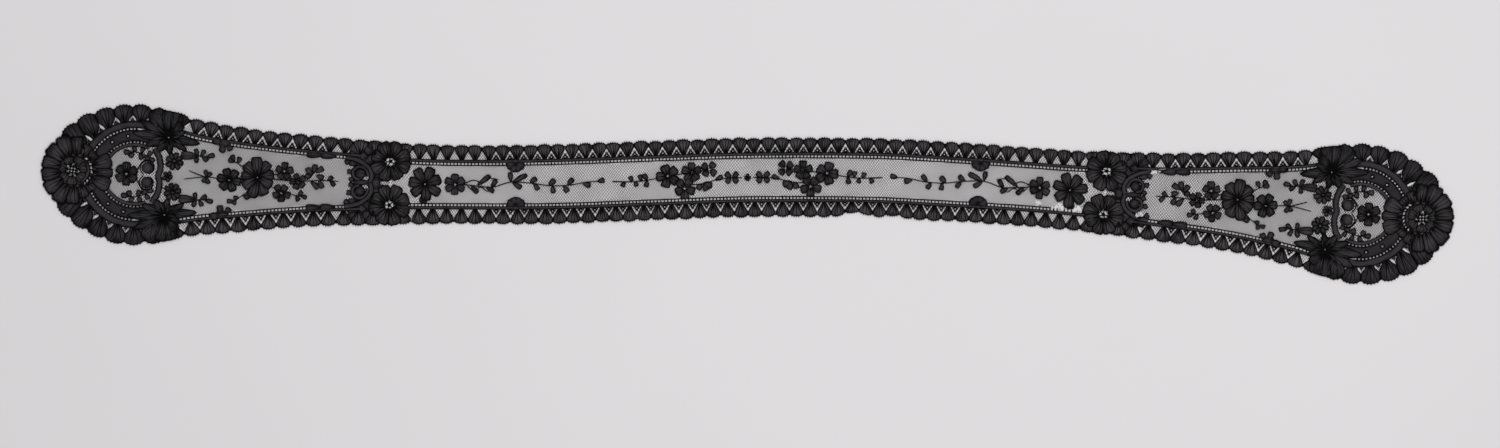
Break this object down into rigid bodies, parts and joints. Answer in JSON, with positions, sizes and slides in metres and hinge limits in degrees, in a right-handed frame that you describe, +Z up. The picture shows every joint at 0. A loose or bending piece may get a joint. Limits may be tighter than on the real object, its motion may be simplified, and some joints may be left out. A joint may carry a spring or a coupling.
{
  "type": "lace lappet",
  "caption": "Black silk bobbin-lace lappet, a long net strip with rounded heads, a scalloped fan edging and flower sprays, laid flat.",
  "frame": {"origin": "centre of the footprint of the laid lappet, on the surface it rests on", "axes": "+X along the lappet towards the right head, +Y across it towards the upper edge, +Z up out of the lace's face"},
  "size_m": [1.1304, 0.1443, 0.0026],
  "materials": {
    "net": "matt black silk net, a fine open mesh",
    "edging": "black silk fans in half stitch with a thick outline thread",
    "clothwork": "black silk flowers and leaves in half stitch with a thick outline thread",
    "braid": "black silk braid with a row of eyelets"
  },
  "bodies": {
    "root": {"net_left": "net", "net_right": "net", "net_centre": "net", "end_rose_left": "clothwork", "end_rose_right": "clothwork", "corner_flower_upper_left": "clothwork", "corner_flower_upper_right": "clothwork", "corner_flower_lower_left": "clothwork", "corner_flower_lower_right": "clothwork", "joint_flower_upper_left": "clothwork", "joint_flower_upper_right": "clothwork", "joint_flower_lower_left": "clothwork", "joint_flower_lower_right": "clothwork", "end_flower_left": "clothwork", "end_flower_right": "clothwork", "crescent_upper_left": "clothwork", "crescent_upper_right": "clothwork", "crescent_lower_left": "clothwork", "crescent_lower_right": "clothwork", "head_blossom_left": "clothwork", "head_blossom_right": "clothwork", "arch_left": "clothwork", "arch_right": "clothwork", "head_sprig_upper_left": "clothwork", "head_sprig_upper_right": "clothwork", "head_sprig_lower_left": "clothwork", "head_sprig_lower_right": "clothwork", "bud_sprig_upper_left": "clothwork", "bud_sprig_upper_right": "clothwork", "bud_sprig_lower_left": "clothwork", "bud_sprig_lower_right": "clothwork", "taper_spray_left": "clothwork", "taper_spray_right": "clothwork", "joint_scroll_left": "clothwork", "joint_scroll_right": "clothwork", "joint_blossom_left": "clothwork", "joint_blossom_right": "clothwork", "vine_left": "clothwork", "vine_right": "clothwork", "bunch_left": "clothwork", "bunch_right": "clothwork", "centre_bud": "clothwork", "rail_upper_centre": "braid", "rail_upper_left": "braid", "rail_upper_right": "braid", "rail_lower_centre": "braid", "rail_lower_left": "braid", "rail_lower_right": "braid", "edging_upper_centre": "edging", "edging_upper_left": "edging", "edging_upper_right": "edging", "head_edging_upper_left": "edging", "head_edging_upper_right": "edging", "edging_lower_centre": "edging", "edging_lower_left": "edging", "edging_lower_right": "edging", "head_edging_lower_left": "edging", "head_edging_lower_right": "edging"}
  },
  "joints": []
}
